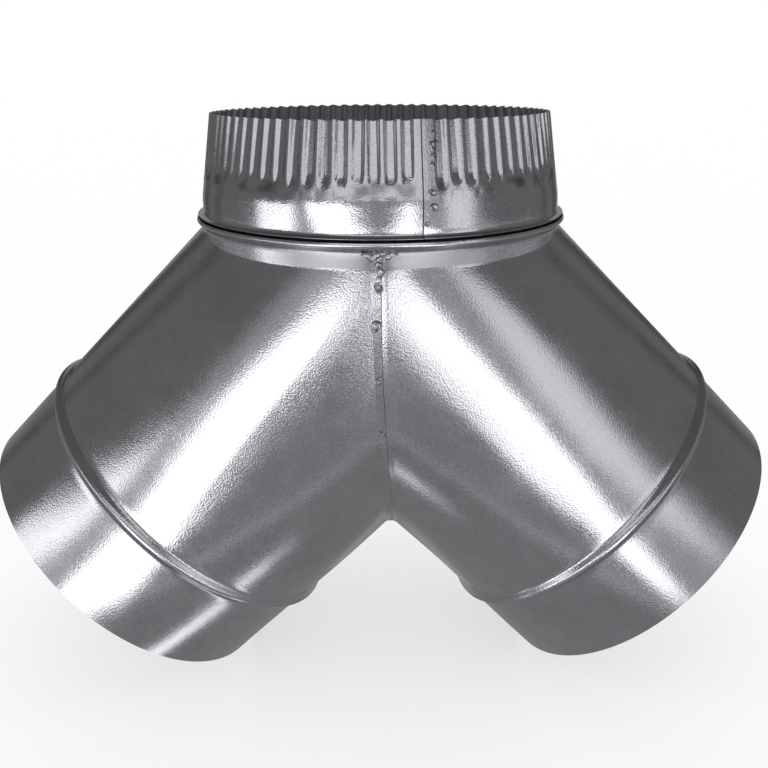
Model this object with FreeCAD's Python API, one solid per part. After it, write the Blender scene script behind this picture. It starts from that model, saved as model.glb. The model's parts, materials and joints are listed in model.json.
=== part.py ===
"""Galvanised sheet-steel duct Y branch: one crimped inlet collar over two plain 45 degree outlets.

Three sheet pieces: the crimped collar, and a left and a right branch that meet in a lapped seam
at the front, under the crotch and at the back. Each branch is half of the neck, a ruled leg and a
beaded mouth in one sheet. +Z is the collar's axis, X runs from mouth to mouth, and the origin is
on the collar's axis at the stop, where the plain band runs into the bead. Above the stop the collar
narrows evenly to its rim, so that it slips into a pipe of the same bore.
"""
import FreeCAD
import Part
import math
import os

V = FreeCAD.Vector

# Sheet and nominal duct
sheet = 0.55             # thickness of the galvanised sheet
bore_radius = 76.2       # inside radius of the plain ends, 6 inch nominal duct
duct_radius = bore_radius + sheet

# Collar: plain band above the stop, then the crimped end
slip_clearance = 0.1     # between the band and a pipe of the same bore
stop_length = 3.0        # straight part of the band, above the stop
band_height = 13.5       # stop to the lower ends of the crimps
crimp_length = 22.8
rim_shrink = 5.3         # how much smaller in radius the crimped rim is than the band
crimp_count = 78
crimp_depth = 1.0        # depth of a groove at the rim
crimp_end_depth = 0.8    # depth of a groove where its rounded end begins
crimp_end_length = 2.6   # length of that end
crimp_floor_share = 0.42   # part of the pitch that is groove floor
crimp_step = 0.05        # step from the band down to the crimped wall
lap_angle = 11.3         # lap seam of the collar, in degrees right of the front

# Joint of collar and neck
joint_bead_width = 9.2
joint_bead_height = 1.7
joint_clearance = 0.1
skirt_margin = 1.6       # collar's lower edge stays this far above the seam flanges
crease_front = 6.0       # neck below the bead, at the front and back
crease_side = 0.5        # neck below the bead, at the two sides
crease_sharpness = 8     # how late the crease rises towards the sides

# Branches
leg_angle = 45.0         # between the collar's axis and a leg
axes_depth = 41.0        # where the three axes meet, below the stop
leg_length = 129.0       # from the axes' meeting point to the middle of a leg's bead
leg_bead_width = 7.5
leg_bead_height = 2.4
mouth_length = 41.0      # plain end past the bead

# Centre seam between the two branches
seam_half_width = 2.9    # from the middle to the bend where a leg's flange starts
upper_flange_reach = 0.8   # left flange's free edge, past the middle
lower_flange_reach = 2.6   # right flange's free edge, past the middle
flange_root = 0.8        # how far a flange's root runs along its own leg
flange_lift = 0.15       # left flange stands this proud of the legs' faces

rulings = 12             # rulings of a leg between its side and its front
bury = 0.3               # how deep one body starts inside the next, so that the two merge
overrun = 30.0           # how far a bore runs past the end that it opens

axis_z = V(0, 0, 1)
origin = V(0, 0, 0)
tilt = math.radians(leg_angle)
leg_axis = V(math.sin(tilt), 0, -math.cos(tilt))
leg_top = V(math.cos(tilt), 0, math.sin(tilt))
leg_base = V(0, 0, -axes_depth)
bead_foot = -joint_bead_width
neck_floor = bead_foot - crease_front
skirt_foot = neck_floor + skirt_margin
rim_height = band_height + crimp_length
band_radius = bore_radius - slip_clearance
mouth_end = leg_length + leg_bead_width / 2 + mouth_length


def polar(radius, angle, height):
    """Point round the collar's axis; angle 0 is the front, positive to the right."""
    return V(radius * math.sin(angle), -radius * math.cos(angle), height)


def line(a, b):
    return Part.makeLine(a, b)


def turned(points, angle=360.0, start=0.0):
    """Solid of revolution about Z of a closed profile given as (radius, height) points."""
    corners = [V(r, 0, z) for r, z in points]
    face = Part.Face(Part.makePolygon(corners + corners[:1]))
    face.rotate(origin, axis_z, start)
    return face.revolve(origin, axis_z, angle)


def along_leg(solid):
    """Move a solid of revolution about Z onto the right leg: its +Z becomes the leg's axis."""
    placed = solid.copy()
    placed.Placement = FreeCAD.Placement(leg_base, FreeCAD.Rotation(V(0, 1, 0), 180 - leg_angle))
    return placed


def strip(upper, lower):
    """Flat triangles between two rows of points, as a sheet bends along its rulings."""
    faces = []
    for a, b, c, d in zip(upper, upper[1:], lower[1:], lower):
        faces.append(Part.Face(Part.makePolygon([a, d, c, a])))
        faces.append(Part.Face(Part.makePolygon([a, c, b, a])))
    return faces


def sewn(faces):
    """Solid inside a closed set of faces."""
    shell = Part.makeCompound(faces)
    shell.sewShape()
    return Part.Solid(shell)


def collar_radius(height):
    """Outer radius of the collar without its grooves: straight at the stop, then a cone to the rim."""
    slope = rim_shrink / (rim_height - stop_length)
    return band_radius - slope * max(0, height - stop_length)


def crimp_ring(radius, height, depth):
    """Closed row of points round the collar: wide grooves with sloping sides between ridges."""
    pitch = 2 * math.pi / crimp_count
    half_floor = pitch * crimp_floor_share / 2
    points = []
    for k in range(crimp_count):
        middle = math.radians(lap_angle) + k * pitch
        floor = radius - (depth if k else 0)
        points.append(polar(radius, middle - pitch / 2, height))
        points.append(polar(floor, middle - half_floor, height))
        points.append(polar(floor, middle + half_floor, height))
    return points + points[:1]


def crimped_wall():
    """Crimped end of the collar: grooves start at a sloping end and deepen towards the rim."""
    levels = ((band_height, 0), (band_height + crimp_end_length, crimp_end_depth), (rim_height, crimp_depth))
    rows = []
    for inset in (0, sheet):
        for height, depth in levels:
            rows.append(crimp_ring(collar_radius(height) - crimp_step - inset, height, depth))
    faces = []
    for lower, upper in ((0, 1), (1, 2), (4, 3), (5, 4)):
        faces += strip(rows[upper], rows[lower])
    for outer, inner in ((0, 3), (2, 5)):
        edges = [Part.makePolygon(rows[outer]), Part.makePolygon(rows[inner])]
        faces.append(Part.makeFace(edges, "Part::FaceMakerBullseye"))
    return sewn(faces)


def joint_bead(offset):
    """Joint's bead as (radius, height) points, from the skirt over the crest to the band."""
    return [
        (bore_radius - joint_clearance + offset, bead_foot),
        (duct_radius + joint_bead_height + offset, bead_foot / 2),
        (band_radius + offset, 0),
    ]


def collar_wall():
    """Skirt, bead and plain band of the collar, one sheet thick."""
    profile = []
    for offset in (0, -sheet):
        bead = joint_bead(offset)
        band = [(collar_radius(height) + offset, height) for height in (stop_length, band_height)]
        row = [(bead[0][0], skirt_foot)] + bead + band
        profile = profile + (row if offset == 0 else row[::-1])
    return turned(profile)


def lap_ply():
    """Inner ply of the collar's lap seam, behind the strip that has no groove."""
    heights = (0, stop_length, rim_height)
    outer = [(collar_radius(height) - sheet / 2, height) for height in heights]
    inner = [(collar_radius(height) - 2 * sheet, height) for height in heights]
    width = 360 / crimp_count
    return turned(outer + inner[::-1], width, lap_angle - 90 - width / 2)


def make_collar():
    """Crimped collar: turned band, bead and skirt, the crimped end and the ply behind its lap."""
    return collar_wall().fuse([crimped_wall(), lap_ply()])


def crease(radius, angle):
    """Point of the bend between neck and leg; it rises to the bead's foot at the sides."""
    rise = (crease_front - crease_side) * abs(math.sin(angle)) ** crease_sharpness
    inner_drop = (duct_radius - radius) * math.tan(tilt / 2) * abs(math.sin(angle))
    return polar(radius, angle, neck_floor + rise - inner_drop)


def ring_point(radius, angle):
    """Point of the circle in the middle of the leg's bead; angle 0 is its top, 90 its front."""
    across = leg_top * (radius * math.cos(angle)) - V(0, radius * math.sin(angle), 0)
    return leg_base + leg_axis * leg_length + across


def ruling_end(radius, angle):
    """Angle on the bead's circle whose tangent plane also touches the crease at the given angle.

    The planes of the two circles meet in a line; both tangents cut it at the same point.
    """
    if angle == math.pi / 2:
        return 0.0
    rise = axes_depth + neck_floor + leg_length * math.cos(tilt)
    line_x = leg_length * math.sin(tilt) + rise / math.tan(tilt)
    line_up = rise / math.sin(tilt)
    cut = (line_x * math.sin(angle) - radius) / math.cos(angle)
    return math.acos(radius / math.hypot(line_up, cut)) - math.atan2(cut, line_up)


def half_space(edge):
    """Box of everything to the right of a plane x = edge."""
    reach = 2 * mouth_end
    return Part.makeBox(reach, 2 * reach, 2 * reach, V(edge, -reach, -reach))


def leg_core(radius):
    """Solid inside a leg, from inside the neck to the middle of its bead.

    Rulings run from the bead's circle over the crease to a flat top inside the neck. A flat lies
    at the front and at the back, and the underside is half a cylinder.
    """
    top_z = bead_foot + bury
    tops, rings, flats, faces = [], [], [], []
    for side in (-1, 1):
        upper, lower = [], []
        for k in range(rulings + 1):
            angle = math.pi / 2 * (1 - k / rulings)
            bend = crease(radius, angle)
            end = ring_point(radius, ruling_end(radius, angle))
            head = bend + (bend - end) * ((top_z - bend.z) / (bend.z - end.z))
            upper.append(V(head.x, -side * head.y, head.z))
            lower.append(V(end.x, -side * end.y, end.z))
        faces += strip(upper, lower)
        tops.append(upper)
        rings.append(lower)
        corner, foot = upper[-1], lower[-1]
        start = V(corner.x, corner.y, -axes_depth - corner.x / math.tan(tilt))
        flats.append(line(corner, start))
        faces.append(Part.Face(Part.makePolygon([corner, start, foot, corner])))
    ring_under = Part.Arc(rings[0][-1], ring_point(radius, math.pi), rings[1][-1]).toShape()
    underside = ring_under.extrude(leg_axis * -mouth_end).common(half_space(corner.x))
    crotch_edge = min(underside.Edges, key=lambda edge: edge.CenterOfMass.x)
    faces += underside.Faces
    chord = line(tops[0][-1], tops[1][-1])
    round_top = Part.makePolygon(tops[0][::-1] + tops[1][1:]).Edges
    round_ring = Part.makePolygon(rings[0][::-1] + rings[1][1:]).Edges
    for outline in (round_ring + [ring_under], round_top + [chord], flats + [chord, crotch_edge]):
        faces.append(Part.Face(Part.Wire(Part.sortEdges(outline)[0])))
    return sewn(faces)


def neck_core(inset, past):
    """Solid inside half a neck: plain below, flared round the lower half of the collar's bead."""
    foot, crest = joint_bead(joint_clearance + sheet - inset)[:2]
    floor = neck_floor - past
    reach = (crest[1] - foot[1] + past) / (crest[1] - foot[1])
    top = (foot[0] + (crest[0] - foot[0]) * reach, crest[1] + past)
    return turned([(0, floor), (foot[0], floor), foot, top, (0, top[1])], 180, -90)


def mouth_profile(radius, past):
    """Outer line of a beaded mouth as (radius, along the leg) points, its foot buried in the leg."""
    foot = leg_bead_width / 2
    start = foot * (1 + bury / leg_bead_height)
    return [
        (radius - bury, leg_length - start),
        (radius + leg_bead_height, leg_length),
        (radius, leg_length + foot),
        (radius, mouth_end + past),
    ]


def mouth_core(inset, past):
    """Solid inside the bead and the plain mouth of a leg."""
    outer = mouth_profile(duct_radius - inset, past)
    return along_leg(turned(outer + [(0, outer[-1][1]), (0, outer[0][1])]))


def make_branch():
    """Right branch without its flange: outside solids merged, then opened by the inside ones."""
    leg = leg_core(duct_radius).common(half_space(seam_half_width))
    outside = leg.fuse([neck_core(0, 0), mouth_core(0, 0)])
    inside = leg_core(duct_radius - sheet).fuse(mouth_core(sheet, overrun))
    return outside.cut(inside.fuse(neck_core(sheet, crease_front)))


def seam_line(offset):
    """Centre seam's section, a given depth inside its outer face: edges down, round and up."""
    half = duct_radius - offset
    middle = V(0, 0, -axes_depth - seam_half_width / math.tan(tilt))
    crotch = middle - V(0, 0, duct_radius / math.sin(tilt) - offset)
    front, back = middle - V(0, half, 0), middle + V(0, half, 0)
    rise = V(0, 0, neck_floor - middle.z)
    under = Part.Arc(Part.Ellipse(crotch, back, middle), -math.pi / 2, math.pi / 2).toShape()
    return [line(front + rise, front), under, line(back, back + rise)], front + rise, back + rise


def seam_band(outer_offset, inner_offset, left, right):
    """Part of a seam flange between two depths, from x = left to x = right."""
    outer, outer_front, outer_back = seam_line(outer_offset)
    inner, inner_front, inner_back = seam_line(inner_offset)
    ends = [line(outer_front, inner_front), line(outer_back, inner_back)]
    face = Part.Face(Part.Wire(Part.sortEdges(outer + inner + ends)[0]))
    face.translate(V(left, 0, 0))
    return face.extrude(V(right - left, 0, 0))


def make_branches():
    """Left and right branch: the left flange lies over the right one, which is set in by a sheet."""
    root = seam_half_width + flange_root
    right = make_branch()
    left = right.rotated(origin, axis_z, 180)
    lap = sheet - flange_lift
    over = seam_band(lap - sheet, lap, -root, upper_flange_reach)
    under = seam_band(lap, lap + sheet, -lower_flange_reach, root)
    return left.fuse(over), right.fuse(under)


def save(name, shape):
    """Write one sheet piece, which is a single solid."""
    piece = shape.Solids[0]
    print(name, "solids", len(shape.Solids), "valid", piece.isValid(), "volume", round(piece.Volume, 1))
    piece.exportStep(os.path.join("parts", name + ".step"))


os.makedirs("parts", exist_ok=True)
left_branch, right_branch = make_branches()
save("crimped_collar", make_collar())
save("left_branch", left_branch)
save("right_branch", right_branch)
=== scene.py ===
# %% [markdown]
# # A galvanised duct Y branch
# The real fitting is bent from three sheets of zinc-coated steel: a crimped collar on top, and a left
# and a right branch that lap over each other down the middle. This lesson rebuilds each sheet as a
# fine surface, gives it the bright, grainy zinc finish, and lights it like a studio shot.

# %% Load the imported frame
import json
import math
import bmesh
import bpy
import numpy as np
from mathutils import Matrix, Vector


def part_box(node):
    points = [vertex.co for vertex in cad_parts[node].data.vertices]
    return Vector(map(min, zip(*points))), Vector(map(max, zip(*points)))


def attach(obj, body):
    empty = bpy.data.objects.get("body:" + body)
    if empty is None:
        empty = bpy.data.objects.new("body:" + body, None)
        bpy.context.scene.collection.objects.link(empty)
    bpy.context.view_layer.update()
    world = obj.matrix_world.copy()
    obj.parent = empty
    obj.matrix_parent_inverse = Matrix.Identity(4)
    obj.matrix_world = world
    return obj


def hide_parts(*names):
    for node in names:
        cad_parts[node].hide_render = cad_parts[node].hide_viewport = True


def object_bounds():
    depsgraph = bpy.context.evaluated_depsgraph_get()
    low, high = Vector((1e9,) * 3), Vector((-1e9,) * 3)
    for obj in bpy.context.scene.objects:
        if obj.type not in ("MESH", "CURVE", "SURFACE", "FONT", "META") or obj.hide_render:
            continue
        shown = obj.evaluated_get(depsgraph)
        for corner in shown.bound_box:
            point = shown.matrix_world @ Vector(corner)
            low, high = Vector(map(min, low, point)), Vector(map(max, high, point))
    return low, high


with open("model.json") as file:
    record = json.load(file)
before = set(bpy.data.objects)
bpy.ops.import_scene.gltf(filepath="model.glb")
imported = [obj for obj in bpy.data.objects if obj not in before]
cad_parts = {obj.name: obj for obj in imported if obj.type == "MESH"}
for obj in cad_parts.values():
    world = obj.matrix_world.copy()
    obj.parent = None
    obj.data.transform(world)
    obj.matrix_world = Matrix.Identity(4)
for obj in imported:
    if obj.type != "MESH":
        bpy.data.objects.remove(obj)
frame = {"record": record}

cad_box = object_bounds()
print("CAD box", [[round(value, 4) for value in corner] for corner in cad_box])

# %% [markdown]
# ## Sizes from the frame
# Everything is in metres. The mounts say how wide the pipe ends are and which way they point, and the
# boxes of the nodes say where the collar ends. Reading them here, and not typing them again, keeps
# each sheet on the solid that it stands for.

# %% Sizes from the mounts and boxes
MM = 0.001
mounts = {mount["name"]: mount for mount in frame["record"]["mounts"]}
inlet, outlet = mounts["inlet_collar"], mounts["right_outlet"]
sheet = 0.55 * MM
bore_radius = outlet["dims"]["r_mm"] * MM
duct_radius = bore_radius + sheet
band_radius = inlet["dims"]["r_mm"] * MM
stop_length = inlet["dims"]["length_mm"] * MM
rim_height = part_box("crimped_collar")[1][2]
skirt_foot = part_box("crimped_collar")[0][2]
bead_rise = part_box("crimped_collar")[1][0] - band_radius
leg_axis = np.array(outlet["axis"], float)
leg_axis /= np.linalg.norm(leg_axis)
tilt = math.acos(-leg_axis[2])
leg_top = np.array([math.cos(tilt), 0.0, math.sin(tilt)])
mouth_end = outlet["pos_m"][0] / leg_axis[0]
leg_base = np.array(outlet["pos_m"]) - leg_axis * mouth_end
bead_foot = 2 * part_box("right_branch")[1][2]
leg_bead_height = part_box("right_branch")[1][1] - duct_radius
floor_height = cad_box[0][2]
print("band radius", band_radius, "rim at", round(rim_height, 4), "leg ends at", round(mouth_end, 4))

# %% Sizes read off the photograph
crease_front = 6.0 * MM
crease_side = 0.5 * MM
crease_sharpness = 8
neck_floor = bead_foot - crease_front
leg_bead_width = 7.5 * MM
mouth_length = outlet["dims"]["length_mm"] * MM
leg_length = mouth_end - mouth_length - leg_bead_width / 2
rng = np.random.default_rng(8)
print("neck ends at", round(neck_floor, 4), "bead of a leg at", round(leg_length, 4))

# %% [markdown]
# ## Grids into meshes
# Each sheet is a grid of points: one array of shape (rows, columns, 3). Grids that belong to one piece
# are stacked, but they don't share points, so the edge between two grids stays sharp, as a cut sheet
# edge is. Whole arrays go into the mesh at once.

# %% Mesh helpers
def grid_quads(rows, columns, wrap, flip):
    """Corner numbers of a grid's quads; wrap joins the last column to the first, flip turns them over."""
    row = np.arange(rows - 1)[:, None]
    column = np.arange(columns if wrap else columns - 1)[None, :]
    after = (column + 1) % columns
    corners = [row * columns + column, row * columns + after,
               (row + 1) * columns + after, (row + 1) * columns + column]
    quads = np.stack(np.broadcast_arrays(*corners), -1).reshape(-1, 4)
    return quads[:, ::-1] if flip else quads


def make_piece(name, grids, node=None):
    """One mesh object from (points, wrap, flip, finish) grids, at the origin, riding on the part."""
    points, quads, slots, finishes, start = [], [], [], [], 0
    for grid, wrap, flip, finish in grids:
        corners = grid_quads(grid.shape[0], grid.shape[1], wrap, flip) + start
        if finish not in finishes:
            finishes.append(finish)
        points.append(grid.reshape(-1, 3))
        quads.append(corners)
        slots.append(np.full(len(corners), finishes.index(finish), dtype=np.int32))
        start += grid.shape[0] * grid.shape[1]
    points, quads, slots = np.concatenate(points), np.concatenate(quads), np.concatenate(slots)
    mesh = bpy.data.meshes.new(name)
    for finish in finishes:
        mesh.materials.append(finish)
    mesh.vertices.add(len(points))
    mesh.vertices.foreach_set("co", points.astype(np.float32).ravel())
    mesh.loops.add(quads.size)
    mesh.loops.foreach_set("vertex_index", quads.astype(np.int32).ravel())
    mesh.polygons.add(len(quads))
    mesh.polygons.foreach_set("loop_start", np.arange(0, quads.size, 4, dtype=np.int32))
    mesh.polygons.foreach_set("use_smooth", np.ones(len(quads), dtype=bool))
    mesh.polygons.foreach_set("material_index", slots)
    mesh.update(calc_edges=True)
    mesh.validate()
    piece = bpy.data.objects.new(name, mesh)
    bpy.context.scene.collection.objects.link(piece)
    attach(piece, "root")
    if node:
        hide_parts(node)
    print(name, 2 * len(quads), "triangles")
    return piece

# %% [markdown]
# Bent sheet has no sudden corners, so two soft curves shape nearly everything below: a step that eases
# in and out, and a bell. Both take whole arrays.

# %% Soft step and bell
def smooth(x):
    """Smoothstep: 0 below 0, 1 above 1, and 3x^2 - 2x^3 between."""
    x = np.clip(x, 0.0, 1.0)
    return x * x * (3 - 2 * x)


def bell(x):
    """Raised cosine: 1 at 0, falling to 0 at -1 and 1."""
    return 0.5 + 0.5 * np.cos(np.pi * np.clip(x, -1, 1))

# %% [markdown]
# ## Shader expressions
# Zinc needs a lot of small arithmetic on noise. Wrapping a socket in a class lets that be written as
# plain Python: every operator adds one Math node and links it.

# %% A socket that can be calculated with
class Wire:
    """A shader socket with arithmetic: each operator adds a Math node to its tree."""

    def __init__(self, finish, socket):
        self.finish = finish
        self.socket = socket

    def math(self, operation, *values):
        return self.finish.node("ShaderNodeMath", {"operation": operation}, dict(enumerate(values)))

    def __add__(self, other):
        return self.math("ADD", self, other)

    def __sub__(self, other):
        return self.math("SUBTRACT", self, other)

    def __rsub__(self, other):
        return self.math("SUBTRACT", other, self)

    def __mul__(self, other):
        return self.math("MULTIPLY", self, other)

    __radd__ = __add__
    __rmul__ = __mul__

    def ramp(self, low, high):
        """0 at low, 1 at high, smooth between."""
        settings = {"interpolation_type": "SMOOTHSTEP"}
        sockets = {"Value": self, "From Min": low, "From Max": high}
        return self.finish.node("ShaderNodeMapRange", settings, sockets)

    def band(self, low, high, soft):
        """1 between low and high, easing in above low and out above high."""
        return self.ramp(low, low + soft) * (1 - self.ramp(high, high + soft))

# %% [markdown]
# The other half is the material. One method adds any node, writes plain values straight onto its
# sockets and links the rest, and hands back a wire, so that no kind of node needs code of its own.

# %% A material that takes any node
class Finish:
    """A material with one method that adds any node."""

    def __init__(self, name):
        self.material = bpy.data.materials.new(name)
        self.material.use_nodes = True
        self.tree = self.material.node_tree
        self.shader = self.tree.nodes["Principled BSDF"]

    def node(self, kind, settings=None, sockets=None, output=0):
        """Add a node: its settings first, then its sockets' values or links."""
        node = self.tree.nodes.new(kind)
        for key, value in (settings or {}).items():
            setattr(node, key, value)
        for key, value in (sockets or {}).items():
            self.plug(node.inputs[key], value)
        return Wire(self, node.outputs[output])

    def plug(self, socket, value):
        """Link a wire to a socket, or set the socket's own value."""
        if isinstance(value, Wire):
            self.tree.links.new(value.socket, socket)
        else:
            socket.default_value = value

    def set(self, **sockets):
        """Sockets of the main shader, named with _ for spaces."""
        for key, value in sockets.items():
            self.plug(self.shader.inputs[key.replace("_", " ")], value)

    def place(self):
        """Object coordinates, in metres."""
        return self.node("ShaderNodeTexCoord", output="Object")

    def noise(self, place, scale, detail=2.0, roughness=0.5):
        """Noise between 0 and 1, with about scale lumps to the metre."""
        sockets = {"Vector": place, "Scale": scale, "Detail": detail, "Roughness": roughness}
        return self.node("ShaderNodeTexNoise", None, sockets, "Fac")

    def near(self, place, point, reach):
        """1 at a point, falling smoothly to 0 at the given distance."""
        sockets = {0: place, 1: point}
        distance = self.node("ShaderNodeVectorMath", {"operation": "DISTANCE"}, sockets, "Value")
        return 1 - distance.ramp(0.0, reach)

    def mix(self, share, low, high):
        """Colour between low and high."""
        sockets = {0: share, 6: low, 7: high}
        return self.node("ShaderNodeMix", {"data_type": "RGBA"}, sockets, 2)

# %% [markdown]
# ## The zinc finish
# Hot-dip zinc is bright but not polished. Up close it is a fine grain that breaks every highlight into
# sparkle along its border, over soft clouds where the coat dulls. Spot welds burn the zinc grey, the
# front of the neck is darker and duller, and the crimping tool leaves drawn lines. Just below where its
# grooves start, the zinc is blotched darker. A painted picture could show all this, but noise over
# Object coordinates needs none, has no seams, and stays fixed to the sheet from every side.

# %% Zinc sizes and colours
dark_zinc, light_zinc = (0.44, 0.44, 0.47, 1), (0.56, 0.56, 0.595, 1)
neck_front_zinc, burnt_and_blotched_zinc = (0.30, 0.30, 0.32, 1), (0.10, 0.10, 0.11, 1)
cloud_scale, patch_scale, grain_scale = 28.0, 110.0, 1700.0
streak_scale, blotch_scale = 900.0, 130.0
drawn_out = (1, 1, 0.04)                                # streaks run up and down
grain_height = 0.3 * MM
burn_place = tuple(value * MM for value in (-1.6, -77.0, -13.0))
burn_reach = 10 * MM
neck_front_half, neck_front_end = 25 * MM, 50 * MM              # to either side of the neck's front
# band of darker blotches just below where the grooves start
blotch_low, blotch_high, band_soft = 10.0 * MM, 14.0 * MM, 2.0 * MM
streak_low = 13.0 * MM
mean_noise = 0.14                                       # what the noises add to roughness on average

# %% Zinc material
def zinc_finish(name, dullness, grain_depth, crimp_streaks_and_blotches=False):
    """Galvanised sheet: metallic, with grain in the bump and clouds in colour and roughness."""
    finish = Finish(name)
    place = finish.place()
    clouds = finish.noise(place, cloud_scale, 3.0)
    patches = finish.noise(place, patch_scale, 3.0, 0.6)
    grain = finish.noise(place, grain_scale, 0.5, 0.5)
    darkening = finish.near(place, burn_place, burn_reach) * patches.ramp(0.35, 0.6)
    height = grain * 0.7 + patches * 0.3
    side = finish.node("ShaderNodeSeparateXYZ", None, {0: place}, "X")
    up = finish.node("ShaderNodeSeparateXYZ", None, {0: place}, "Z")
    # The front of the neck, between crease and bead, is darker and duller.
    front = 1 - side.math("ABSOLUTE", side).ramp(neck_front_half, neck_front_end)
    neck_front = up.band(neck_floor, bead_foot, MM) * front
    if crimp_streaks_and_blotches:
        drawn = finish.node("ShaderNodeVectorMath", {"operation": "MULTIPLY"}, {0: place, 1: drawn_out})
        streaks = finish.noise(drawn, streak_scale, 2.0)
        # darker blotches in the band just below where the grooves start, added to the weld burn
        blotches = up.band(blotch_low, blotch_high, band_soft)
        darkening = blotches * finish.noise(place, blotch_scale, 1.0).ramp(0.42, 0.72) * 0.8 + darkening
        height = height + streaks * up.ramp(streak_low, streak_low + band_soft) * 0.6
    tone = clouds * 0.3 + patches * 0.2 + grain * 0.5
    colour = finish.mix(tone.ramp(0.3, 0.7), dark_zinc, light_zinc)
    colour = finish.mix(neck_front * 0.5, colour, neck_front_zinc)
    colour = finish.mix(darkening * 0.85, colour, burnt_and_blotched_zinc)
    rough = clouds * 0.10 + patches * 0.08 + grain * 0.10 + darkening * 0.10 + neck_front * 0.22
    rough = rough + (dullness - mean_noise)
    sockets = {"Strength": grain_depth, "Distance": grain_height, "Height": height}
    bump = finish.node("ShaderNodeBump", None, sockets)
    finish.set(Base_Color=colour, Metallic=1.0, Roughness=rough, Normal=bump)
    print(name, len(finish.tree.nodes), "nodes")
    return finish.material


zinc = zinc_finish("zinc_sheet", dullness=0.18, grain_depth=0.25)
collar_zinc = zinc_finish("collar_zinc", dullness=0.15, grain_depth=0.20, crimp_streaks_and_blotches=True)
inside_zinc = zinc_finish("inside_zinc", dullness=0.45, grain_depth=0.22)

# %% [markdown]
# Two more finishes go with it. Inside the joint of collar and neck, and along the lap's cut edge and the
# flange's free edge, the zinc is nearly black: painted shadow, with some flux and dust. Weld metal is
# rough, dull and blotched. Both are one kind of material, so a single function makes them from their
# colours, roughness and size of blotch.

# %% Joint grime and weld metal
blotch_height = 0.2 * MM


def dull_finish(name, dark, light, roughness, metallic, scale):
    """Blotched dull metal: a colour between dark and light, by noise of the given scale."""
    finish = Finish(name)
    place = finish.place()
    blotch = finish.noise(place, scale, 3.0, 0.6)
    colour = finish.mix(blotch.ramp(0.35, 0.65), dark, light)
    sockets = {"Strength": 0.4, "Distance": blotch_height, "Height": blotch}
    bump = finish.node("ShaderNodeBump", None, sockets)
    rough = blotch * 0.2 + (roughness - 0.1)
    finish.set(Base_Color=colour, Metallic=metallic, Roughness=rough, Normal=bump)
    print(name, len(finish.tree.nodes), "nodes")
    return finish.material


# The joint finish is painted shadow in the narrow gaps, with some grime.
shade_and_grime = dull_finish("joint_shadow_and_grime", (0.010, 0.010, 0.011, 1), (0.03, 0.03, 0.032, 1), 0.7, 0.0, 300.0)
weld_metal = dull_finish("weld_metal", (0.16, 0.16, 0.17, 1), (0.52, 0.52, 0.55, 1), 0.34, 1.0, 900.0)

# %% [markdown]
# ## The crimped collar
# A crimping tool presses a row of round-ended grooves into the end of the sheet, so that the end shrinks
# and slips into the next pipe. From the bead up the collar is a slim cone. A groove is a change of radius
# that depends on two things only: the place within the pitch and the height. So the whole collar is one
# formula, r(angle, height). No two grooves come out alike, so depth, start and lean vary a little.

# %% Collar sizes
band_height = 12.5 * MM
rim_shrink = 5.3 * MM
crimp_count = 78
crimp_pitch = 2 * math.pi / crimp_count
crimp_depth = 1.05 * MM
crimp_grow = 5.5 * MM                   # height over which a groove gets deep
floor_half, ridge_edge = 0.17, 0.45     # groove floor and ridge, as shares of the pitch
end_round = 0.6                         # how round a groove's lower end is
end_swell, swell_below, swell_half = 0.10 * MM, 1.5 * MM, 1.2 * MM
shoulder_top, shoulder_height, shoulder_foot = -0.2 * MM, -3.8 * MM, -4.3 * MM
shoulder_power = 10                     # the larger, the sharper the bead turns out
front_straight = 9.0 * MM               # at the front the cone starts higher up
front_end, front_fade = math.radians(45), math.radians(25)
front_lean = 0.040                      # slope of the band there
lean_from, lean_fade = math.radians(-23), math.radians(6)
wave_rise, wave_phase, wave_climb = 0.12 * MM, 0.7, 60
rim_scallop = 0.6 * MM
lap_middle = math.radians(11.3)
lap_cut = math.radians(10.7)
lap_fade = math.radians(26)
groove_depths = 1 + 0.10 * rng.standard_normal(crimp_count)
groove_starts = 0.35 * MM * rng.standard_normal(crimp_count)
groove_leans = 0.03 * rng.standard_normal(crimp_count)
print(crimp_count, "crimps, pitch", round(crimp_pitch * band_radius, 5))

# %% Collar surface
def bead_shoulder(height):
    """Bead's share of its rise: a flare that turns out sharply at the crest, then a round back under it."""
    down = np.clip((shoulder_top - height) / (shoulder_top - shoulder_height), 0, 1)
    under = np.clip((shoulder_height - height) / (shoulder_height - shoulder_foot), 0, 1)
    return np.where(height > shoulder_height, down ** shoulder_power, np.sqrt(1 - under ** 2))


def crimp_share(angle, up):
    """Number of the nearest groove and the distance from its middle, as a share of the pitch."""
    turn = (angle - lap_middle) / crimp_pitch
    number = np.round(turn).astype(int) % crimp_count
    return number, np.abs(turn - np.round(turn) - groove_leans[number] * up)


def crimp_height(height):
    """0 up to the foot of the crimps, 1 at the rim."""
    return (height - band_height) / (rim_height - band_height)


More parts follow.
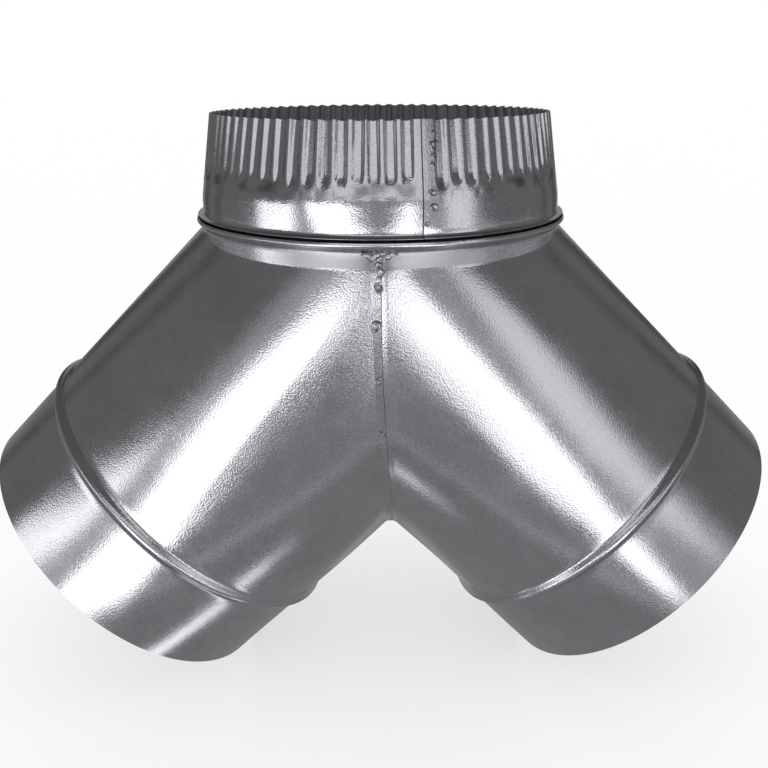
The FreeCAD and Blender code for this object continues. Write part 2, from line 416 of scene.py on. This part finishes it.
def collar_radius(angle, height):
    """Radius over angle and height: skirt, bead and slim cone, less the grooves towards the rim."""
    to_side = smooth((np.abs(angle) - front_end) / front_fade)
    cone_start = front_straight + (stop_length - front_straight) * to_side
    cone = np.clip((height - cone_start) / (rim_height - cone_start), 0, 1)
    lean = front_lean * smooth((angle - lean_from) / lean_fade) * (1 - to_side)
    leaning = lean * np.clip(height, 0, front_straight)
    radius = band_radius + bead_rise * bead_shoulder(height) - leaning
    radius = radius - (rim_shrink - lean * front_straight) * cone
    above = height - band_height
    up = np.clip(crimp_height(height), 0, 1)
    number, share = crimp_share(angle, up)
    groove = 1 - smooth((share - floor_half) / (ridge_edge - floor_half))
    across = np.clip(share / ridge_edge, 0, 1)
    width = ridge_edge * crimp_pitch * band_radius
    start = groove_starts[number] + end_round * width * (1 - np.sqrt(1 - across ** 2))
    grow = smooth((above - start) / crimp_grow)
    pressed = number != 0
    depth = crimp_depth * groove_depths[number] * (0.85 + 0.3 * up)
    swell = np.exp(-((above - groove_starts[number] + swell_below) / swell_half) ** 2)
    radius = radius - pressed * depth * grow * groove
    radius = radius + pressed * end_swell * swell * (1 - across ** 2)
    wave = wave_rise * np.sin(3 * angle + wave_phase) * np.sin(5 * angle + height * wave_climb)
    return radius + wave * smooth(height / stop_length)


def lap_rise(angle, height):
    """Height of the outer ply: full at the cut edge, sinking away to its right, none in the skirt."""
    past = angle - lap_cut
    ply = np.where(past > 0, sheet * (1 - smooth(past / lap_fade)), 0)
    return ply * smooth((height - shoulder_foot) / (shoulder_top - shoulder_foot))


def around(angle, radius, height):
    """Points round the collar's axis; angle 0 is the front, positive to the right."""
    return np.stack([radius * np.sin(angle), -radius * np.cos(angle), height], -1)

# %% [markdown]
# The grid's columns stand closest where a groove's sides are steep. It starts and ends at the lap's cut
# edge, with a column close to either side, and a strip of its own closes that step: the edge stays sharp
# and takes the near-black joint finish, a painted shadow line. The rows are closest at the bead and at
# the grooves' round ends.

# %% Columns and rows of the collar
half_shares = np.array([0.08, 0.17, 0.21, 0.26, 0.31, 0.36, 0.40, 0.45])
shares = np.concatenate([[-0.5], -half_shares[::-1], [0.0], half_shares])
columns = lap_middle + (np.arange(crimp_count)[:, None] + shares[None, :]) * crimp_pitch
cut_step = math.radians(0.13)
columns = np.concatenate([columns.ravel(), [lap_cut - cut_step, lap_cut + cut_step]])
from_cut = np.sort(np.mod(columns - lap_cut, 2 * np.pi))
angles = np.mod(lap_cut + from_cut + np.pi, 2 * np.pi) - np.pi
crest_crowd = 1.6                       # draws the rows towards the bead's crest
ends_low, ends_high = band_height - 3.5 * MM, band_height + 6 * MM
round_under = shoulder_height + (shoulder_foot - shoulder_height) * np.sin(np.linspace(0, np.pi / 2, 7))
low_heights = np.concatenate([[skirt_foot, bead_foot], round_under[:0:-1]])
high_heights = np.concatenate([
    round_under[1::-1],
    shoulder_height + (shoulder_top - shoulder_height) * np.linspace(0, 1, 11)[1:] ** crest_crowd,
    np.linspace(shoulder_top, ends_low, 5)[1:],
    np.linspace(ends_low, ends_high, 17)[1:],
    np.linspace(ends_high, rim_height, 8)[1:],
])
inner_heights = np.concatenate([low_heights[:2], high_heights[4::4], [rim_height]])
print("collar grid", len(angles), "columns,", len(low_heights) + len(high_heights), "rows")

# %% Collar mesh
def collar_wall(heights, inset):
    """The collar's outer face over the given heights, moved in by an inset; the rim dips at each groove."""
    angle, height = np.meshgrid(angles, heights)
    radius = collar_radius(angle, height) - inset
    if inset == 0:
        radius = radius + lap_rise(angle, height)
    number, share = crimp_share(angle, 1.0)
    dip = (number != 0) * rim_scallop * bell(2 * share)
    return around(angle, radius, height - dip * smooth(crimp_height(height)) ** 3)


low_wall, high_wall = collar_wall(low_heights, 0), collar_wall(high_heights, 0)
inner_wall = collar_wall(inner_heights, sheet)
make_piece("collar_sheet", [
    (high_wall, False, False, collar_zinc),
    # The lap's cut edge and the skirt inside the joint: painted shadow, with some grime.
    (high_wall[:, [-1, 0]], False, False, shade_and_grime),
    (low_wall, True, False, shade_and_grime),
    (inner_wall, True, True, inside_zinc),
    (np.stack([high_wall[-1], inner_wall[-1]]), True, False, collar_zinc),
    (np.stack([inner_wall[0], low_wall[0]]), True, False, inside_zinc),
], "crimped_collar")

# %% [markdown]
# ## The two branches
# A branch starts as half of the round neck, then turns into a round leg at 45 degrees. The bender does
# that with straight rulings: each line touches the bend under the neck at one end and the circle of the
# leg at the other, so that the sheet never stretches. Between the last ruling and the round underside
# lies a flat at the front. A column of the grid is one such line, followed over the bead to the mouth.

# %% Lines of a leg
y_way = np.array([0.0, 1.0, 0.0])
round_count, flat_count, neck_count = 56, 12, 64
last_angle = np.pi / 2 - 1e-4           # at a right angle itself the formula divides by zero


def leg_point(turn, along, radius):
    """Point round a leg's axis; turn 0 is the top, positive to the front."""
    side = np.cos(turn)[..., None] * leg_top - np.sin(turn)[..., None] * y_way
    return leg_base + leg_axis * along[..., None] + side * np.asarray(radius)[..., None]


def crease_point(angle, radius):
    """Bend between neck and leg: level at the front, rising to the bead's foot at the sides."""
    rise = (crease_front - crease_side) * np.abs(np.sin(angle)) ** crease_sharpness
    drop = (duct_radius - radius) * math.tan(tilt / 2) * np.abs(np.sin(angle))
    return around(angle, radius, neck_floor + rise - drop)


def ruling_end(angle, radius):
    """Turn on the leg's circle whose tangent plane also touches the crease at this angle."""
    rise = -leg_base[2] + neck_floor + leg_length * math.cos(tilt)
    meet_x = leg_length * math.sin(tilt) + rise / math.tan(tilt)
    meet_up = rise / math.sin(tilt)
    cut = (meet_x * np.sin(angle) - radius) / np.cos(angle)
    return np.arccos(radius / np.hypot(meet_up, cut)) - np.arctan2(cut, meet_up)


def leg_columns(radius, bend):
    """Upper ends and turns on the circle of a leg's lines, from crotch to top in front."""
    round_turn = np.linspace(np.pi, np.pi / 2, round_count)
    round_along = (bend - radius * np.cos(round_turn) * leg_top[0]) / leg_axis[0]
    round_head = leg_point(round_turn, round_along, radius)
    neck_angle = np.linspace(math.asin(bend / radius), last_angle, neck_count)
    neck_head = crease_point(neck_angle, radius)
    neck_turn = ruling_end(neck_angle, radius)
    share = np.linspace(0, 1, flat_count)[1:-1, None]
    flat_head = round_head[-1] * (1 - share) + neck_head[0] * share
    flat_turn = (round_turn[-1] * (1 - share) + neck_turn[0] * share)[:, 0]
    heads = np.concatenate([round_head, flat_head, neck_head])
    turns = np.concatenate([round_turn, flat_turn, neck_turn])
    return heads, turns

# %% [markdown]
# Along each line come the rows. At the neck the sheet turns over a small radius, which is a short
# quadratic curve, and near the mouth it is rolled up into a bead.

# %% Rows along the lines
crease_soft = 0.7 * MM
to_back = np.array([1.0, -1.0, 1.0])


def leg_rows(heads, turns, bent, radius, count):
    """Points along each line, from its head to the bead's foot; bent lines turn softly at the crease."""
    foot = leg_point(turns, np.full(len(turns), leg_length - leg_bead_width / 2), radius)
    reach = np.linalg.norm(foot - heads, axis=1)[:, None]
    above = heads + bent[:, None] * np.array([0, 0, crease_soft])
    below = heads + (foot - heads) / reach * crease_soft
    t = np.linspace(0, 1, 7)[:, None, None]
    turn_rows = (1 - t) ** 2 * above + 2 * t * (1 - t) * heads + t ** 2 * below
    v = np.linspace(0, 1, count)[1:, None, None]
    return np.concatenate([turn_rows, below + (foot - below) * v])


def mouth_rows(turns, radius, count):
    """Bead as a raised cosine, then the plain mouth."""
    bead = np.linspace(-1, 1, count)
    along = leg_length + bead * leg_bead_width / 2
    plain = np.linspace(along[-1], mouth_end, count)[1:]
    rise = np.concatenate([leg_bead_height * bell(bead), np.zeros(len(plain))])
    turn, along = np.meshgrid(turns, np.concatenate([along, plain]))
    return leg_point(turn, along, radius + rise[:, None])


def both_sides(front):
    """Columns of the front half followed by their mirror image at the back, without the shared ones."""
    return np.concatenate([front, front[:, -2:0:-1] * to_back], axis=1)


def branch_wall(radius, bend, leg_count, bead_count):
    """Leg and mouth of the right branch as one closed grid."""
    heads, turns = leg_columns(radius, bend)
    bent = np.zeros(len(heads))
    bent[-neck_count:] = 1
    leg = leg_rows(heads, turns, bent, radius, leg_count)
    mouth = mouth_rows(turns, radius, bead_count)
    return both_sides(np.concatenate([leg, mouth[1:]]))

# %% [markdown]
# No fitting comes out of the bender exact. The seam starts a little left of the middle and drifts to the
# right, and the flat keeps some crown from the rolls, which gives the light on it a clean edge. Both are
# small moves of finished points, so each grid of a branch goes through them at the end.

# %% Lean and crown
seam_start, start_half = -2.0 * MM, 22 * MM
seam_drift, drift_half = 5.5 * MM, 45 * MM
drift_length, drift_bow = 135 * MM, 1.6
crown, crown_reach, crown_length = 1.0 * MM, 30 * MM, 110 * MM
x_way = np.array([1.0, 0.0, 0.0])


def skew(points):
    """The fitting's own lean: the seam starts left of the middle and drifts right towards the crotch."""
    x, z = points[..., 0], points[..., 2]
    start = seam_start * smooth((bead_foot - z) / crease_front) * np.exp(-(x / start_half) ** 2)
    fall = smooth((neck_floor - z) / drift_length) ** drift_bow
    drift = seam_drift * fall * np.exp(-(x / drift_half) ** 2)
    return points + (start + drift)[..., None] * x_way


def crowned(points):
    """The flat of a rolled leg stays a little crowned: a bell across the leg that fades along it."""
    start = np.array([0.0, 0.0, (neck_floor + leg_base[2]) / 2])
    across, along = (points - start) @ leg_top, (points - start) @ leg_axis
    rise = crown * bell(across / crown_reach) * (1 - smooth(along / crown_length))
    rise = rise * np.clip((bead_foot - points[..., 2]) / crease_front, 0, 1)
    facing = np.clip(points[..., 1] / bore_radius, -1, 1)
    return points + (rise * facing * np.abs(facing))[..., None] * y_way

# %% [markdown]
# The neck is a half turn of a short profile: the flared edge that grips the collar's bead, its foot, and
# a plain band down to the crease.

# %% Neck
flare_crest = -6.0 * MM
flare_edge = -5.3 * MM


def neck_wall(inset):
    """Half turn of the neck: a rounded free edge, the flare under the bead, then down to the crease."""
    angle = np.linspace(0, np.pi, 128)
    foot_radius = duct_radius - inset
    flare_height = np.linspace(flare_edge, bead_foot, 10)
    flare_radius = foot_radius + bead_rise * bell((flare_height - flare_crest) / (bead_foot - flare_crest))
    side = 1 if inset == 0 else -1
    t = np.linspace(0, np.pi / 2, 5)[:-1]
    edge_radius = flare_radius[0] - side * sheet / 2 * (1 - np.sin(t))
    edge_height = flare_edge + sheet / 2 * np.cos(t)
    bottom = crease_point(angle, foot_radius)[:, 2] + crease_soft
    t = np.linspace(0, 1, 5)[1:, None]
    plain = bead_foot * (1 - t) + np.minimum(bottom, bead_foot)[None, :] * t
    round_heights = np.concatenate([edge_height, flare_height])
    heights = np.concatenate([np.repeat(round_heights[:, None], len(angle), 1), plain])
    round_radii = np.concatenate([edge_radius, flare_radius])
    plain_radii = np.full_like(plain, foot_radius)
    radii = np.concatenate([np.repeat(round_radii[:, None], len(angle), 1), plain_radii])
    return around(angle[None, :], radii, heights)

# %% [markdown]
# Down the middle each branch has a flange, and the left one lies over the right one. A flange is a few
# rails side by side that follow the seam from the neck, round the crotch and up the back. Two rails close
# to each fold keep the narrow faces between them flat, so that the folds catch the light as lines.

# %% Seam flange
edge_bevel = 0.3 * MM
crotch_arch = 1.2 * MM
tuck, tuck_depth = 0.5 * MM, 0.02 * MM          # the flange starts just under the leg's face
fold_rails = (0.06, 0.94)


def seam_strip(bend, reach, level, settle):
    """Flange along the centre seam: from the bend to its level, to the free edge, and back inside."""
    middle = leg_base[2] - bend / math.tan(tilt)
    down = np.linspace(neck_floor + crease_soft, middle, 40)
    sweep = np.linspace(0, np.pi, 90)[1:-1]
    places = [(bend + tuck, tuck_depth), (bend, 0.0), (settle, level), (-reach, level)]
    outer = [places[0]]
    for (x0, d0), (x1, d1) in zip(places[1:-1], places[2:]):
        outer += [(x0 + (x1 - x0) * t, d0 + (d1 - d0) * t) for t in fold_rails]
    outer.append(places[-1])
    # The bevelled free edge takes the near-black finish: a painted shadow line along the seam, with some
    # grime.
    edge = [(-reach, level), (-reach - edge_bevel, level + sheet)]
    inner = [(-reach - edge_bevel, level + sheet), (bend, level + sheet)]

    def rail(x, offset):
        """One line along the seam, at a place across it and a depth under the leg's face."""
        half = duct_radius - offset
        drop = duct_radius / math.sin(tilt) - offset - crotch_arch * np.clip(1 - (x / bend) ** 2, 0, 1)
        front = np.stack([np.full_like(down, x), np.full_like(down, -half), down], -1)
        under = np.stack([np.full_like(sweep, x), -half * np.cos(sweep), middle - drop * np.sin(sweep)], -1)
        return np.concatenate([front, under, front[::-1] * to_back])

    return [np.stack([rail(x, offset) for x, offset in part]) for part in (outer, edge, inner)]

# %% [markdown]
# The right branch is made as it stands, and the left one is its mirror image with the flange that lies
# on top. The lean comes last, because both sheets lean the same way.

# %% Both branches
left_bend, right_bend = 2.3 * MM, 3.0 * MM
over_reach = 0.8 * MM
under_reach = 2.6 * MM
flange_lift = 0.15 * MM
settle_gap = 0.1 * MM


def make_branch(side, name, node, bend, reach, level, settle):
    """All walls of one branch; side 1 is the right one, -1 its mirror image."""
    flip = side < 0
    mirror = np.array([side, 1.0, 1.0])
    outer = branch_wall(duct_radius, bend, leg_count=46, bead_count=15)
    inner = branch_wall(bore_radius, bend, leg_count=14, bead_count=9)
    flange, edge, under_flange = seam_strip(bend, reach, level, settle)
    grids = [
        (outer, True, flip, zinc),
        (inner, True, not flip, inside_zinc),
        (np.stack([outer[-1], inner[-1]]), True, flip, zinc),
        (neck_wall(0), False, flip, zinc),
        (neck_wall(sheet), False, not flip, inside_zinc),
        (flange, False, flip, zinc),
        # the free edge: painted shadow line, with some grime
        (edge, False, flip, shade_and_grime),
        (under_flange, False, flip, inside_zinc),
    ]
    grids = [(skew(crowned(grid) * mirror), wrap, turn, finish) for grid, wrap, turn, finish in grids]
    make_piece(name, grids, node)


make_branch(-1, "left_branch_sheet", "left_branch", left_bend, over_reach,
            level=-flange_lift, settle=settle_gap - over_reach)
make_branch(1, "right_branch_sheet", "right_branch", right_bend, under_reach,
            level=sheet - flange_lift, settle=over_reach)

# %% [markdown]
# ## Welds
# Spot welds hold the seam and the lap, and a row of tacks closes the neck where the three sheets meet.
# A spot leaves a small crater with a raised ring, and a tack leaves a lump. Each one is a disc: rings
# about a centre, with a height over the sheet that depends on the distance from the middle. Its border
# and its flat bottom lie under the sheet's face, so that the weld looks as if it grew out of the metal.

# %% One weld
weld_height, weld_sink = 0.55, 0.25             # millimetres over and under the sheet's face
weld_border = 0.72                              # where it starts to sink, as a share of its radius
ring_middle, ring_half, ring_tilt = 0.62, 0.20, 0.35
weld_oval, weld_corners = 0.10, 0.07            # how uneven the outline is


def on_seam(across, up, height):
    """Points over the front of the seam, from places across and up it."""
    fall = np.clip((leg_base[2] - left_bend - up) / (duct_radius / math.sin(tilt)), 0, 1)
    front = duct_radius * np.sqrt(1 - fall ** 2) + flange_lift
    points = crowned(np.stack([np.abs(across), -(front + height), up], -1))
    points[..., 0] = across
    return points


def on_collar(across, up, height):
    """Points over the collar, from a distance round it and a height."""
    angle = across / band_radius
    return around(angle, collar_radius(angle, up) + lap_rise(angle, up) + height, up)


def weld_discs(surface, x, z, wide, high, ring):
    """A weld's two discs in millimetres; ring 1 is a crater, 0 a lump, and the outline is uneven."""
    turn = np.linspace(0, 2 * np.pi, 28, endpoint=False)[None, :]
    rho = np.linspace(1, 0, 11)[:, None]
    phase = rng.uniform(0, 2 * np.pi, 3)
    uneven = 1 + weld_oval * np.sin(2 * turn + phase[0]) + weld_corners * np.sin(3 * turn + phase[1])
    lump = np.sqrt(np.clip(1 - rho ** 2, 0, 1))
    crater = np.exp(-((rho - ring_middle) / ring_half) ** 2) * (1 + ring_tilt * np.sin(turn + phase[2]))
    sink = weld_sink * smooth((rho - weld_border) / (1 - weld_border))
    rise = weld_height * (ring * crater + (1 - ring) * lump) - sink
    across = (x + wide * rho * uneven * np.cos(turn)) * MM
    up = (z + high * rho * uneven * np.sin(turn)) * MM
    top = surface(across, up, rise * MM)
    bottom = surface(across, up, np.full_like(across, -weld_sink * MM))
    return [(top, True, False, weld_metal), (bottom, True, True, weld_metal)]

# %% [markdown]
# The welds stand where the photograph shows them: each has a place across and up the sheet, its half
# width and half height, and how much of a crater it is. The innermost ring of a disc is one point many
# times over, so doubled points are merged afterwards.

# %% Weld marks
seam_welds = [(-3.1, -35.8, 2.1, 2.6, 1), (-2.2, -57.8, 1.8, 2.1, 1), (-1.3, -81.5, 1.7, 1.3, 0.5),
              (-2.3, -21.5, 1.9, 2.3, 1), (-6.2, -9.6, 1.9, 0.9, 0), (-4.2, -10.6, 1.8, 1.6, 0.6),
              (-2.6, -9.4, 1.5, 1.0, 0), (-0.8, -11.0, 2.0, 1.7, 0.5), (1.6, -10.0, 1.6, 1.2, 0),
              (3.4, -9.3, 1.7, 0.8, 0), (-1.9, -13.4, 1.6, 1.7, 0.7), (-1.2, -15.8, 1.5, 1.6, 0.3),
              (-2.0, -18.4, 1.3, 1.4, 0)]
collar_welds = [(17.4, 11.6, 1.7, 1.8, 1), (18.2, 6.8, 1.7, 1.8, 1), (19.1, 31.3, 1.3, 1.4, 0),
                (18.6, 27.4, 1.9, 1.9, 0.6), (19.6, 28.6, 1.2, 1.0, 0), (18.9, 24.0, 1.5, 1.6, 0.4),
                (18.0, 21.2, 1.0, 1.1, 0), (15.5, 1.0, 1.5, 0.9, 0.5)]
merge_distance = 0.001 * MM
weld_grids = []
for weld in seam_welds:
    weld_grids += weld_discs(on_seam, *weld)
for weld in collar_welds:
    weld_grids += weld_discs(on_collar, *weld)
welds = make_piece("weld_marks", weld_grids)
shell = bmesh.new()
shell.from_mesh(welds.data)
bmesh.ops.remove_doubles(shell, verts=shell.verts, dist=merge_distance)
bmesh.ops.recalc_face_normals(shell, faces=shell.faces)
shell.to_mesh(welds.data)
shell.free()
print(len(seam_welds) + len(collar_welds), "welds")

# %% [markdown]
# ## Studio
# The floor and the surroundings are white. A floor in full light would still look grey beside a bright
# sky, so what the camera sees of it, in the metal too, is mixed with plain white paper. That lifts the
# shadow and keeps its shape.

# %% Floor and world
white = (1, 1, 1, 1)
shadow_lift = 0.62
floor_reach, floor_gap = 8.0, 0.2 * MM
corners = [(-1, -1), (1, -1), (1, 1), (-1, 1)]


def place_on_stage(name, points, faces, finish):
    """A thin surface of the studio, which isn't part of the fitting."""
    mesh = bpy.data.meshes.new(name)
    mesh.from_pydata(points, [], faces)
    mesh.materials.append(finish)
    card = bpy.data.objects.new(name, mesh)
    bpy.context.scene.collection.objects.link(card)
    return card


floor_finish = Finish("floor_white")
floor_finish.set(Base_Color=white, Roughness=1.0)
ray = floor_finish.node("ShaderNodeLightPath").socket.node.outputs
kinds = ("Is Camera Ray", "Is Glossy Ray", "Is Transmission Ray")
seen = sum(Wire(floor_finish, ray[kind]) for kind in kinds)
paper = floor_finish.node("ShaderNodeEmission", None, {"Color": white, "Strength": 1.0})
shaded = Wire(floor_finish, floor_finish.shader.outputs[0])
lifted = floor_finish.node("ShaderNodeMixShader", None, {0: seen * shadow_lift, 1: shaded, 2: paper})
floor_finish.plug(floor_finish.tree.nodes["Material Output"].inputs["Surface"], lifted)
floor_points = [(x * floor_reach, y * floor_reach, floor_height - floor_gap) for x, y in corners]
place_on_stage("floor", floor_points, [(0, 1, 2, 3)], floor_finish.material)

world = bpy.data.worlds.new("studio")
bpy.context.scene.world = world
world.use_nodes = True
sky = world.node_tree.nodes["Background"].inputs
sky["Color"].default_value = white
sky["Strength"].default_value = 1.0
print("floor at", round(floor_height, 4))

# %% [markdown]
# Bright metal shows whatever stands round it, so a photographer keeps it dark with grey cards and lays
# bright ones only where the metal should flash. The cards here glow evenly, and they are there for the
# metal alone: the camera and the floor don't see them, so the fitting can be looked at from any side
# against plain white.

# %% Card helpers
board_foot = np.array([0.0, -0.16, floor_height + 6 * MM])
board_run, board_climb = 0.84, 0.272
board_slope = np.array([0.0, -board_run, board_climb]) / math.hypot(board_run, board_climb)
wall_radius = 1.15


def glow_card(name, points, faces, level):
    """An evenly glowing card that shows in the metal alone; a level of 1 is white."""
    finish = Finish(name)
    finish.set(Base_Color=(0, 0, 0, 1), Emission_Color=white, Emission_Strength=level)
    card = place_on_stage(name, points, faces, finish.material)
    card.visible_camera = False
    card.visible_diffuse = False
    card.visible_shadow = False
    print(name, "level", level)


def board_card(name, outline, lift, level):
    """A flat card on the rising board: its outline is (x, distance up the board) in millimetres."""
    off = np.cross(x_way, -board_slope) * lift * MM
    points = [board_foot + x_way * x * MM + board_slope * s * MM + off for x, s in outline]
    glow_card(name, [tuple(point) for point in points], [tuple(range(len(points)))], level)


def floor_card(name, low, high, lift, level):
    """A rectangle just above the floor, in millimetres."""
    outline = (low, (high[0], low[1]), high, (low[0], high[1]))
    points = [(x * MM, y * MM, floor_height + lift * MM) for x, y in outline]
    glow_card(name, points, [(0, 1, 2, 3)], level)


def wall_card(name, first, last, bottom, top, level):
    """An upright round wall from one bearing to another; bearing 0 is straight in front."""
    bearing = np.radians(np.linspace(first, last, 49))
    points = np.stack([around(bearing, wall_radius, np.full_like(bearing, z)) for z in (bottom, top)])
    quads = grid_quads(2, len(bearing), False, False)
    glow_card(name, points.reshape(-1, 3).tolist(), quads.tolist(), level)

# %% [markdown]
# A round grey wall with darker strips behind gives the legs' upper sides their soft lines, and a dark
# ceiling keeps the collar from going white. The covered floor under the fitting is grey too, with a few
# small glints where the underside of the left leg flashes.

# %% Walls, ceiling and covered floor
front_first, front_last = -50, 62
wall_split, wall_top = 0.40, 0.75
ceiling_reach = 1.2
cover_lift, glint_lift = 0.3, 0.6
wall_card("wall_front", front_first, front_last, floor_height, wall_split, 0.42)
wall_card("wall_above", front_first, front_last, wall_split, wall_top, 0.14)
behind = [(62, 118, 0.18), (118, 125, 0.10), (125, 138, 0.17), (138, 150, 0.07), (150, 210, 0.30),
          (210, 222, 0.07), (222, 235, 0.17), (235, 242, 0.10), (242, 310, 0.18)]
for first, last, level in behind:
    wall_card(f"wall_{first}", first, last, floor_height, wall_top, level)
ceiling_points = [(x * ceiling_reach, y * ceiling_reach, wall_top) for x, y in corners]
glow_card("ceiling", ceiling_points, [(3, 2, 1, 0)], 0.12)
floor_card("floor_cover", (-1000, -160), (1000, 1000), cover_lift, 0.26)
floor_card("floor_glint", (-120, -88), (-50, -79), glint_lift, 2.0)
floor_card("floor_glint_middle", (-50, -95), (-28, -85), glint_lift, 1.9)
floor_card("floor_glint_end", (-28, -99), (-10, -88), glint_lift, 0.8)
floor_card("floor_patch", (-15, 5), (60, 40), glint_lift, 0.36)

# %% [markdown]
# In front of the fitting a board rises gently from the floor. Two bright panels on it, with a dark gap
# where the photographer stands, draw the white band down each leg. The outlines of the panels decide
# where a band starts and ends, so they are the cards to move when a highlight sits in the wrong place.

# %% Board and panels
board_half, board_top = 1000, 950
panel_lift = 2
boards = [("board_middle", (-board_half, board_half), (-board_half, board_half), 0, 0.30),
          ("board_right", (150, board_half), (300, board_half), 1, 0.45),
          ("board_left", (-board_half, -230), (-board_half, -450), 1, 0.55)]
for name, foot, head, lift, level in boards:
    outline = [(foot[0], 0), (foot[1], 0), (head[1], board_top), (head[0], board_top)]
    board_card(name, outline, lift, level)
left_inner = [(-125, 0), (-100, 140), (-50, 240), (-30, 330), (-140, 500), (-420, 800)]
left_outer = [(-620, 800), (-560, 540), (-385, 335), (-280, 165), (-245, 0)]
board_card("panel_left", left_inner + left_outer, panel_lift, 2.6)
right_inner = [(285, 780), (205, 780), (150, 590), (-4, 350), (1, 270), (32, 194), (66, 132), (77, 95),
               (126, 52), (158, 5)]
right_outer = [(185, 10), (200, 118), (222, 215), (232, 326), (215, 430), (245, 590)]
board_card("panel_right", right_inner + right_outer, panel_lift, 2.4)

# %% [markdown]
# The crimped end looks a little upwards, over the board, so it gets an upright card of its own, which
# the grooves break into bright and dark columns.

# %% Card for the crimps
def upright_card(name, low, high, bottom, top, level):
    """A flat upright card between two (x, y) feet in millimetres."""
    outline = ((*low, bottom), (*high, bottom), (*high, top), (*low, top))
    points = [(x * MM, y * MM, z * MM) for x, y, z in outline]
    glow_card(name, points, [(0, 1, 2, 3)], level)


upright_card("crimp_card", (-213, -360), (180, -360), 55, 260, 1.0)

# %% [markdown]
# The cards cast no light on the floor, so two soft lamps stand to the sides, and they show in the metal
# as cards do. Their strength is given as what a card in their place would glow with, and the watts
# follow from the size.

# %% Lamps
def panel_lamp(name, centre, across, up, radiance):
    """A rectangular soft lamp between two edge vectors; it shines away from across x up."""
    across, up = Vector(across), Vector(up)
    lamp = bpy.data.lights.new(name, "AREA")
    lamp.shape = "RECTANGLE"
    lamp.size, lamp.size_y = across.length, up.length
    lamp.energy = radiance * math.pi * lamp.size * lamp.size_y
    holder = bpy.data.objects.new(name, lamp)
    side, top = across.normalized(), up.normalized()
    turn = Matrix((side, top, side.cross(top))).transposed()
    holder.matrix_world = Matrix.Translation(centre) @ turn.to_4x4()
    holder.visible_camera = False
    bpy.context.scene.collection.objects.link(holder)
    print(name, round(lamp.energy, 3), "W")


panel_lamp("right_panel", (0.365, -0.33, -0.025), (0.17, 0.06, 0), (0, 0, 0.32), 0.68)
panel_lamp("left_glow", (-0.520, -0.25, -0.095), (0.12, -0.24, 0), (0, 0, 0.09), 1.8)

# %% [markdown]
# ## Camera
# The camera was found by fitting the outline of the fitting to the photograph: it stands in front of
# the neck and looks down at about 22 degrees. The picture's centre lies a little above the optical
# axis, which is a small vertical shift.

# %% Camera
camera_place = Vector((-0.0059, -0.3895, 0.0528))
pitch, yaw, roll = 0.3817, 0.0179, -0.0054
focal_pixels, picture_pixels, axis_row = 872.5, 768, 418.3
sensor_width = 36.0

forward = Vector((math.sin(yaw) * math.cos(pitch), math.cos(yaw) * math.cos(pitch), -math.sin(pitch)))
level_right = Vector((math.cos(yaw), -math.sin(yaw), 0))
level_up = level_right.cross(forward)
right_way = level_right * math.cos(roll) + level_up * math.sin(roll)
up_way = level_up * math.cos(roll) - level_right * math.sin(roll)
lens = bpy.data.cameras.new("camera")
lens.sensor_fit = "HORIZONTAL"
lens.sensor_width = sensor_width
lens.lens = focal_pixels / picture_pixels * sensor_width
lens.shift_y = (axis_row - picture_pixels / 2) / picture_pixels
camera = bpy.data.objects.new("camera", lens)
turn = Matrix((right_way, up_way, -forward)).transposed()
camera.matrix_world = Matrix.Translation(camera_place) @ turn.to_4x4()
bpy.context.scene.collection.objects.link(camera)
bpy.context.scene.camera = camera
bpy.context.scene.view_settings.view_transform = "Standard"
print("lens", round(lens.lens, 1), "mm, looking down", round(math.degrees(pitch), 1), "degrees")
